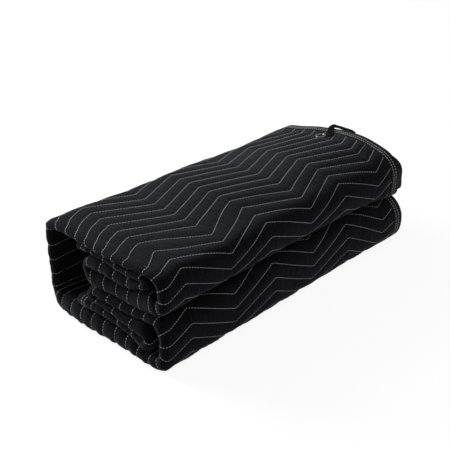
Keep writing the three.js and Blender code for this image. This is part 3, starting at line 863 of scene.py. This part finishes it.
def tape_section(trim):
    """The section of the tape folded round a hem, as depth from its closed end and lift."""
    top = HALF_CLOTH
    rows = [trim.first_row / MM, trim.second_row / MM]
    face = [(BINDING_WIDTH, top - TAPE), (BINDING_WIDTH, top - 0.2), (BINDING_WIDTH - 0.6, top)]
    for row in reversed(rows):
        face += [(row + 2, top + TAPE_CROWN), (row, top - TAPE_DIP), (row - 2, top + TAPE_CROWN)]
    face += [(4.5, top + TAPE_CROWN)]
    round_end = [(top - top * math.cos(turn), top * math.sin(turn))
                 for turn in np.radians([75, 50, 25, 0])]
    back = [(depth, -lift) for depth, lift in reversed(face + round_end[:-1])]
    inside = [(TAPE_FOLD, TAPE - top), (TAPE_FOLD, top - TAPE)]
    return np.array(face + round_end + back + inside)


def binding_piece(node, rings, distances, section, material):
    """Build the tape for a node through rings of points, with its UV along and across it."""
    around = np.concatenate([[0], np.cumsum(np.linalg.norm(np.diff(section, axis=0), axis=1))])
    u, v = np.meshgrid(distances, around, indexing="ij")
    uv = np.stack([u, v], -1).reshape(-1, 2) * MM
    piece = new_piece(f"{node}_tape", rings.reshape(-1, 3), sweep(rings), material, uv)
    finish_piece(piece, "binding", node)


class BLANKET_OT_bindings(bpy.types.Operator):
    """Build the woven tape that binds the four hems"""

    bl_idname = "blanket.bindings"
    bl_label = "Edge Bindings"

    def execute(self, context):
        trim = context.scene.blanket_trim
        material = tape_material(context.scene.blanket_colours)
        section = tape_section(trim)
        depth, lift = section.T
        inset = BINDING_WIDTH + CLEAR
        route = stations(ROUTE, inset, ROUTE_LENGTH - inset, 0.4)
        layers = stations(LAYERS, 0, LAYERS_LENGTH)
        inner_edge = np.where(depth > BINDING_WIDTH - 1, 1.0, 0.0)
        for node, hem_at, inward in (("binding_outer_hem", 0, 1),
                                     ("binding_inner_hem", LAYERS_LENGTH, -1)):
            uneven = TAPE_WANDER * wave(route, 37, hem_at)
            depths = depth + uneven[:, None] * inner_edge
            rings = place(route[:, None], hem_at + inward * depths, lift)
            binding_piece(node, rings, route, section, material)
        for node, hem_at, inward in (("binding_upper_side", 0, 1),
                                     ("binding_lower_side", ROUTE_LENGTH, -1)):
            rings = place(hem_at + inward * depth, layers[:, None], lift)
            binding_piece(node, rings, layers, section, material)
        return {"FINISHED"}


# ---------------------------------------------------------------- stitches
THREAD_FLATNESS = 0.6  # a stitch's height for its width
THREAD_RISE = 0.25  # the middle of a stitch above the cloth
GUIDE_STEP = 4.0  # between the points that a row of stitches is laid along
NEAR_END = 45  # how far the end folds' stitches run on along the panels


def stitch_tree():
    """Geometry nodes that lay a row of stitches along each line of a guide mesh."""
    tree = bpy.data.node_groups.new("Stitch Rows", "GeometryNodeTree")
    for name, kind in (("Geometry", "Geometry"), ("Stitch Pitch", "Float"), ("Stitch Length", "Float"),
                       ("Thread Width", "Float"), ("Thread Height", "Float"), ("Thread", "Material")):
        tree.interface.new_socket(name, in_out="INPUT", socket_type=f"NodeSocket{kind}")
    tree.interface.new_socket("Geometry", in_out="OUTPUT", socket_type="NodeSocketGeometry")
    given = add_node(tree, "NodeGroupInput").outputs
    rows = add_node(tree, "GeometryNodeMeshToCurve", {"Mesh": given["Geometry"]})
    spaced = add_node(tree, "GeometryNodeResampleCurve",
                      {"Curve": rows.outputs[0], "Length": given["Stitch Pitch"]}, mode="LENGTH")
    stitch = add_node(tree, "GeometryNodeMeshUVSphere", {"Segments": 6, "Rings": 3, "Radius": 0.5})
    size = add_node(tree, "ShaderNodeCombineXYZ", {"X": given["Stitch Length"],
                                                   "Y": given["Thread Width"],
                                                   "Z": given["Thread Height"]})
    tangent = add_node(tree, "GeometryNodeInputTangent")
    outward = add_node(tree, "GeometryNodeInputNamedAttribute", {"Name": "facing"},
                       data_type="FLOAT_VECTOR")
    pointed = add_node(tree, "FunctionNodeAlignRotationToVector",
                       {"Vector": tangent.outputs[0]}, axis="X")
    turned = add_node(tree, "FunctionNodeAlignRotationToVector",
                      {"Rotation": pointed.outputs[0], "Vector": outward.outputs["Attribute"]},
                      axis="Z", pivot_axis="X")
    laid = add_node(tree, "GeometryNodeInstanceOnPoints",
                    {"Points": spaced.outputs[0], "Instance": stitch.outputs["Mesh"],
                     "Rotation": turned.outputs[0], "Scale": size.outputs[0]})
    real = add_node(tree, "GeometryNodeRealizeInstances", {"Geometry": laid.outputs[0]})
    smooth = add_node(tree, "GeometryNodeSetShadeSmooth", {"Geometry": real.outputs[0]})
    finished = add_node(tree, "GeometryNodeSetMaterial",
                        {"Geometry": smooth.outputs[0], "Material": given["Thread"]})
    add_node(tree, "NodeGroupOutput", {"Geometry": finished.outputs[0]})
    return tree


def shared_thread(context):
    """The thread material, made once."""
    known = bpy.data.materials.get("Polyester Thread")
    return known or thread_material(context.scene.blanket_colours)


def stitch_piece(context, name, points, normals, edges, thread_width):
    """A piece of stitches of one width, laid along a guide's edges."""
    sizes = context.scene.blanket_quilting
    guide_mesh = bpy.data.meshes.new(f"{name}_guide")
    guide_mesh.from_pydata([tuple(p) for p in points], [tuple(e) for e in edges], [])
    facing_out = guide_mesh.attributes.new("facing", "FLOAT_VECTOR", "POINT")
    facing_out.data.foreach_set("vector", np.asarray(normals, dtype=np.float32).ravel())
    guide = bpy.data.objects.new(f"{name}_guide", guide_mesh)
    context.scene.collection.objects.link(guide)
    tree = bpy.data.node_groups.get("Stitch Rows") or stitch_tree()
    modifier = guide.modifiers.new("Stitches", "NODES")
    modifier.node_group = tree
    values = {
        "Stitch Pitch": sizes.stitch_pitch,
        "Stitch Length": sizes.stitch_length,
        "Thread Width": thread_width,
        "Thread Height": THREAD_FLATNESS * thread_width,
        "Thread": shared_thread(context),
    }
    for item in tree.interface.items_tree:
        if item.in_out == "INPUT" and item.name in values:
            modifier[item.identifier] = values[item.name]
    evaluated = guide.evaluated_get(context.evaluated_depsgraph_get())
    mesh = bpy.data.meshes.new_from_object(evaluated)
    mesh.name = name
    # The stitches under the blanket are pressed flat by its weight.
    points = np.empty(len(mesh.vertices) * 3, dtype=np.float32)
    mesh.vertices.foreach_get("co", points)
    points[2::3] = np.maximum(points[2::3], 0.0)
    mesh.vertices.foreach_set("co", points)
    mesh.update()
    piece = bpy.data.objects.new(name, mesh)
    context.scene.collection.objects.link(piece)
    bpy.data.objects.remove(guide)
    finish_piece(piece, "stitch_thread")


def guide_lines(s, t, lift, shown):
    """The points, normals and edges of guide lines along the rows of a grid, where shown."""
    points = place(s, t, lift)
    normals = facing(s, t, lift)
    number = np.arange(s.size).reshape(s.shape)
    kept = shown[:, :-1] & shown[:, 1:]
    edges = np.stack([number[:, :-1][kept], number[:, 1:][kept]], axis=-1)
    used, compact = np.unique(edges, return_inverse=True)
    return points.reshape(-1, 3)[used], normals.reshape(-1, 3)[used], compact.reshape(-1, 2)


def exposed(s, t):
    """Where the blanket's outer side can be seen: outside, in the hollow and on the end folds."""
    outside = (s > FIRST_EXPOSED) & (s < LAST_EXPOSED) & (t < END_FOLD_AT)
    end_fold = (t > END_FOLD_AT - NEAR_END) & (t < SECOND_FACE_AT + NEAR_END)
    hollow = (s > FIRST_HOLLOW) & (s < LAST_HOLLOW) & (t > SECOND_FACE_AT) & (t < SECOND_FACE_END)
    return outside | end_fold | hollow


class BLANKET_OT_quilting(bpy.types.Operator):
    """Lay the zigzag rows of quilting stitches on the cloth"""

    bl_idname = "blanket.quilting"
    bl_label = "Quilting Stitches"

    def execute(self, context):
        sizes = context.scene.blanket_quilting
        spacing = sizes.row_spacing / MM
        row_lines = np.arange(ROW_START + spacing, ROUTE_LENGTH - BINDING_WIDTH - 3, spacing)
        across = np.arange(BINDING_WIDTH + 1.0, SECOND_FACE_END, GUIDE_STEP)
        line, t = np.meshgrid(row_lines, across, indexing="ij")
        s = on_row(line, t, sizes)
        lift = outer_lift(line, s, t, sizes) - THREAD_RISE
        off_eyelet = eyelet_press(s, t) < 0.98
        points, normals, edges = guide_lines(s, t, lift, exposed(s, t) & off_eyelet)
        stitch_piece(context, "quilting_stitches", points, normals, edges, sizes.thread_width)
        return {"FINISHED"}


class BLANKET_OT_hem_stitches(bpy.types.Operator):
    """Sew the outer hem's binding and both side bindings on with two rows of stitches each"""

    bl_idname = "blanket.hem_stitches"
    bl_label = "Hem Stitches"

    def execute(self, context):
        trim = context.scene.blanket_trim
        depths = np.array([trim.first_row / MM, trim.second_row / MM])
        lift = -(HALF_CLOTH - TAPE_DIP + THREAD_RISE)
        route = np.arange(BINDING_WIDTH, ROUTE_LENGTH - BINDING_WIDTH, GUIDE_STEP / 2)
        t, s = np.meshgrid(depths, route, indexing="ij")
        points, normals, edges = guide_lines(s, t, np.full(s.shape, lift), exposed(s, t))
        stitch_piece(context, "outer_hem_stitches", points, normals, edges, trim.hem_thread)
        through = np.arange(2.0, SECOND_FACE_AT + 60, GUIDE_STEP / 2)
        sides = np.concatenate([depths, ROUTE_LENGTH - depths])
        s, t = np.meshgrid(sides, through, indexing="ij")
        points, normals, edges = guide_lines(s, t, np.full(s.shape, lift), t > END_FOLD_AT - 60)
        stitch_piece(context, "side_hem_stitches", points, normals, edges, trim.hem_thread)
        return {"FINISHED"}


# ---------------------------------------------------------------- eyelet
PRESSED = 3.3  # depth of the washer's upper face, with the cloth pressed between


def top_frame(x, y):
    """The frame of a small hard piece on top, with its Z axis off the cloth."""
    step = 5

    def on_top(dx, dy):
        return Vector(in_frame(x + dx, y + dy, TOPSIDE).tolist())

    along_x = (on_top(step, 0) - on_top(-step, 0)).normalized()
    along_y = (on_top(0, step) - on_top(0, -step)).normalized()
    off = along_x.cross(along_y).normalized()
    across = off.cross(along_x)
    matrix = Matrix((along_x, across, off)).transposed().to_4x4()
    matrix.translation = on_top(0, 0)
    return matrix


def arc(centre, radius, start, end, count):
    """Points of an arc in a lathe's profile."""
    turns = np.radians(np.linspace(start, end, count))
    return [(centre[0] + radius * math.cos(turn), centre[1] + radius * math.sin(turn)) for turn in turns]


def lathe_faces(count, sides):
    """The quads of a closed profile turned about an axis."""
    faces = []
    for i in range(sides):
        for j in range(count):
            nxt = (i + 1) % sides
            k = (j + 1) % count
            faces.append((i * count + j, nxt * count + j, nxt * count + k, i * count + k))
    return faces


def lathe_points(profile, sides, matrix):
    """A profile in millimetres turned about the frame's Z axis."""
    points = []
    for i in range(sides):
        turn = 2 * math.pi * i / sides
        for radius, height in profile:
            local = Vector((radius * math.cos(turn), radius * math.sin(turn), height)) * MM
            points.append(matrix @ local)
    return points


class BLANKET_OT_eyelet(bpy.types.Operator):
    """Build the nickel eyelet with its rolled flange, barrel and washer"""

    bl_idname = "blanket.eyelet"
    bl_label = "Eyelet"

    def execute(self, context):
        trim = context.scene.blanket_trim
        flange = trim.flange_radius / MM
        bore = trim.bore_radius / MM
        roll = 1.25
        profile = [
            *arc((bore + roll, 0.35), roll, 180, 60, 9),
            (bore + 2.9, 1.15), (flange - 1.3, 0.75),
            *arc((flange - 0.5, 0.05), 0.5, 75, -60, 6),
            (bore + 0.9, -0.5), (bore + 0.75, -PRESSED), (flange - 1.2, -PRESSED),
            (flange - 0.9, -PRESSED - 0.3), (flange - 1.2, -PRESSED - 0.6),
            (bore + 0.1, -PRESSED - 0.6),
        ]
        sides = trim.eyelet_sides
        points = lathe_points(profile, sides, top_frame(EYELET_X, EYELET_Y))
        ring = new_piece("nickel_eyelet", points, lathe_faces(len(profile), sides),
                         nickel_material(context.scene.blanket_colours))
        finish_piece(ring, "eyelet_metal", "eyelet")
        return {"FINISHED"}


# ---------------------------------------------------------------- webbing loop
# The strip's two edges, from its foot on the hem, out and round, and back to the hem. Each
# row gives a point of the inner and of the outer edge: X, Y and the lift off the top.
WEBBING_WIDTH = 0.013
LOOP_ROWS = [
    dict(inner=(266, -8.5, CLEAR), outer=(258, 2.5, CLEAR)),
    dict(inner=(283, 4, CLEAR), outer=(276, 15.5, CLEAR)),
    dict(inner=(296, 13.5, CLEAR), outer=(291, 26, 1)),
    dict(inner=(304, 19, 0.8), outer=(304, 32, 2.4)),
    dict(inner=(310, 22, -0.2), outer=(317.5, 32, 2.8)),
    dict(inner=(312.8, 19, -1.1), outer=(320.5, 25, 1)),
    dict(inner=(313.4, 13.5, -2), outer=(321, 17, 0.2)),
    dict(inner=(313.2, 9, -2.7), outer=(321, 11, -0.4)),
    dict(inner=(312.5, 2, -3.2), outer=(321.5, 4.5, -1.4)),
    dict(inner=(311.3, -7, -3.5), outer=(321, -4.5, -1.8)),
    dict(inner=(308, -18, -3.5), outer=(319, -14.5, -2.4)),
    dict(inner=(305.8, -26, -3.4), outer=(314.5, -24, -3.2)),
]


def smooth_rows(rows, steps):
    """Rows of numbers with smooth rows between them, by a Catmull-Rom curve."""
    rows = np.asarray(rows, float)
    padded = np.concatenate([[2 * rows[0] - rows[1]], rows, [2 * rows[-1] - rows[-2]]])
    found = []
    for i in range(len(rows) - 1):
        p0, p1, p2, p3 = padded[i:i + 4]
        for step in range(steps):
            t = step / steps
            found.append(0.5 * (2 * p1 + (p2 - p0) * t + (2 * p0 - 5 * p1 + 4 * p2 - p3) * t * t
                                + (3 * p1 - p0 - 3 * p2 + p3) * t ** 3))
    found.append(rows[-1])
    return np.array(found)


def webbing_rings(rows, thickness):
    """Rings of points round the webbing, with rounded selvedges."""
    inner = in_frame(rows[:, 0], rows[:, 1], TOPSIDE + rows[:, 2])
    outer = in_frame(rows[:, 3], rows[:, 4], TOPSIDE + rows[:, 5])
    middle = (inner + outer) / 2
    ahead = np.gradient(middle, axis=0)
    off = np.cross(outer - inner, ahead)
    off /= np.linalg.norm(off, axis=1, keepdims=True)
    off *= np.where(off[:, 2:] < 0, -1, 1)
    shares = [0, 0.03, 0.12, 0.3, 0.5, 0.7, 0.88, 0.97, 1]
    crown = [0.5, 0.9, 1, 1, 1, 1, 1, 0.9, 0.5]
    upper = [inner + (outer - inner) * share + off * thickness * rise
             for share, rise in zip(shares, crown)]
    lower = [inner + (outer - inner) * share + off * thickness * (1 - rise)
             for share, rise in reversed(list(zip(shares, crown)))]
    return np.stack(upper + lower[1:-1], axis=1), middle, shares


class BLANKET_OT_loop(bpy.types.Operator):
    """Build the webbing loop on the hem"""

    bl_idname = "blanket.loop"
    bl_label = "Webbing Loop"

    def execute(self, context):
        trim = context.scene.blanket_trim
        rows = smooth_rows([(*row["inner"], *row["outer"]) for row in LOOP_ROWS], 6)
        rings, middle, shares = webbing_rings(rows, trim.webbing_thickness)
        run_along = np.concatenate([[0], np.cumsum(np.linalg.norm(np.diff(middle, axis=0), axis=1))])
        v = np.array([share - 0.5 for share in [*shares, *reversed(shares[1:-1])]]) * WEBBING_WIDTH
        uv = np.stack(np.meshgrid(run_along, v, indexing="ij"), -1).reshape(-1, 2)
        strip = new_piece("webbing_loop_strip", rings.reshape(-1, 3), sweep(rings),
                          webbing_material(context.scene.blanket_colours), uv)
        finish_piece(strip, "webbing", "webbing_loop")
        return {"FINISHED"}


# ---------------------------------------------------------------- the whole sheet
class BLANKET_OT_sheet(bpy.types.Operator):
    """Do nothing, as the other operators build the sheet and the pieces that are sewn to it"""

    bl_idname = "blanket.sheet"
    bl_label = "Sheet and Its Trim"

    def execute(self, context):
        return {"FINISHED"}


# ---------------------------------------------------------------- stage
CAMERA_PLACE = (-1112.9, -1045.5, 912.4)  # about the middle of the folded block
CAMERA_YAW = 46.177
CAMERA_DIP = 28.188
SENSOR_WIDTH = 36.0
FOCAL_LENGTH = 78.072
FLOOR_HALF = 12.0
FLOOR_GLOW = 0.9
SURROUND = 0.16  # strength of the surround's light
LIGHTS = [
    dict(name="Key Light", position=(-0.75, 2.55, 1.4), size=1.4, power=52),
    dict(name="Fill Light", position=(0.5, -1.6, 2.8), size=2.2, power=9),
]


def floor_material(colours):
    """Pale painted floor, lit up to white for the eye and keeping a soft shadow."""
    material, tree, shader = new_material("Painted Studio Floor")
    set_sockets(shader, {"Base Color": colours.floor, "Roughness": 0.9, "Specular IOR Level": 0.0,
                         "Emission Color": (1.0, 1.0, 1.0, 1.0)})
    rays = add_node(tree, "ShaderNodeLightPath")
    seen = worked(tree, "MAXIMUM", rays.outputs["Is Camera Ray"], rays.outputs["Is Glossy Ray"])
    shown = worked(tree, "MAXIMUM", seen, rays.outputs["Is Transmission Ray"])
    glow = worked(tree, "MULTIPLY", shown, FLOOR_GLOW)
    tree.links.new(glow, shader.inputs["Emission Strength"])
    return material


def studio_world(strength):
    """A plain white surround that lights the object softly and looks white."""
    world = bpy.data.worlds.new("Studio Surround")
    world.use_nodes = True
    tree = world.node_tree
    tree.nodes.clear()
    rays = add_node(tree, "ShaderNodeLightPath")
    level = add_node(tree, "ShaderNodeMapRange", {"Value": rays.outputs["Is Camera Ray"],
                                                  "To Min": strength, "To Max": 1.0})
    surround = add_node(tree, "ShaderNodeBackground", {"Color": (1.0, 1.0, 1.0, 1.0),
                                                       "Strength": level.outputs["Result"]})
    add_node(tree, "ShaderNodeOutputWorld", {"Surface": surround.outputs[0]})
    return world


def soft_light(name, position, size, power):
    """A square soft light that points at the blanket."""
    data = bpy.data.lights.new(name, "AREA")
    data.size = size
    data.energy = power
    lamp = bpy.data.objects.new(name, data)
    lamp.location = position
    middle = Vector((0.0, 0.0, 0.08))
    lamp.rotation_euler = (middle - Vector(position)).to_track_quat("-Z", "Y").to_euler()
    bpy.context.scene.collection.objects.link(lamp)


class BLANKET_OT_stage(bpy.types.Operator):
    """Set up the floor, the lights and the camera"""

    bl_idname = "blanket.stage"
    bl_label = "Studio Stage"

    def execute(self, context):
        scene = context.scene
        mesh = bpy.data.meshes.new("studio_floor")
        corners = [(x * FLOOR_HALF, y * FLOOR_HALF, 0) for x, y in ((-1, -1), (1, -1), (1, 1), (-1, 1))]
        mesh.from_pydata(corners, [], [(0, 1, 2, 3)])
        mesh.materials.append(floor_material(scene.blanket_colours))
        floor = bpy.data.objects.new("studio_floor", mesh)
        scene.collection.objects.link(floor)
        scene.world = studio_world(SURROUND)
        for light in LIGHTS:
            soft_light(**light)
        camera = bpy.data.cameras.new("Camera")
        camera.sensor_width = SENSOR_WIDTH
        camera.lens = FOCAL_LENGTH
        eye = bpy.data.objects.new("Camera", camera)
        eye.location = [(place_mm + shift) * MM for place_mm, shift in zip(CAMERA_PLACE, SHIFT)]
        eye.rotation_euler = (math.radians(90 - CAMERA_DIP), 0, math.radians(-CAMERA_YAW))
        scene.collection.objects.link(eye)
        scene.camera = eye
        scene.view_settings.view_transform = "Standard"
        return {"FINISHED"}


# ---------------------------------------------------------------- panel and registration
OPERATORS = (
    BLANKET_OT_stage,
    BLANKET_OT_cloth,
    BLANKET_OT_bindings,
    BLANKET_OT_quilting,
    BLANKET_OT_hem_stitches,
    BLANKET_OT_eyelet,
    BLANKET_OT_loop,
    BLANKET_OT_sheet,
)


class BLANKET_PT_panel(bpy.types.Panel):
    """The blanket's sizes, colours and pieces"""

    bl_label = "Folded Blanket"
    bl_idname = "BLANKET_PT_panel"
    bl_space_type = "VIEW_3D"
    bl_region_type = "UI"
    bl_category = "Blanket"

    def draw(self, context):
        for group in ("blanket_quilting", "blanket_trim", "blanket_colours"):
            values = getattr(context.scene, group)
            box = self.layout.box()
            for name in values.bl_rna.properties.keys():
                if name not in ("rna_type", "name"):
                    box.prop(values, name)
        for operator in OPERATORS:
            self.layout.operator(operator.bl_idname)


CLASSES = (QuiltingSizes, TrimSizes, BlanketColours, *OPERATORS, BLANKET_PT_panel)


def register():
    for known in CLASSES:
        bpy.utils.register_class(known)
    bpy.types.Scene.blanket_quilting = PointerProperty(type=QuiltingSizes)
    bpy.types.Scene.blanket_trim = PointerProperty(type=TrimSizes)
    bpy.types.Scene.blanket_colours = PointerProperty(type=BlanketColours)


def unregister():
    del bpy.types.Scene.blanket_colours
    del bpy.types.Scene.blanket_trim
    del bpy.types.Scene.blanket_quilting
    for known in reversed(CLASSES):
        bpy.utils.unregister_class(known)


def main():
    register()
    bpy.ops.blanket.stage()
    bpy.ops.blanket.cloth()
    bpy.ops.blanket.bindings()
    bpy.ops.blanket.quilting()
    bpy.ops.blanket.hem_stitches()
    bpy.ops.blanket.eyelet()
    bpy.ops.blanket.loop()
    bpy.ops.blanket.sheet()


if __name__ == "__main__":
    main()
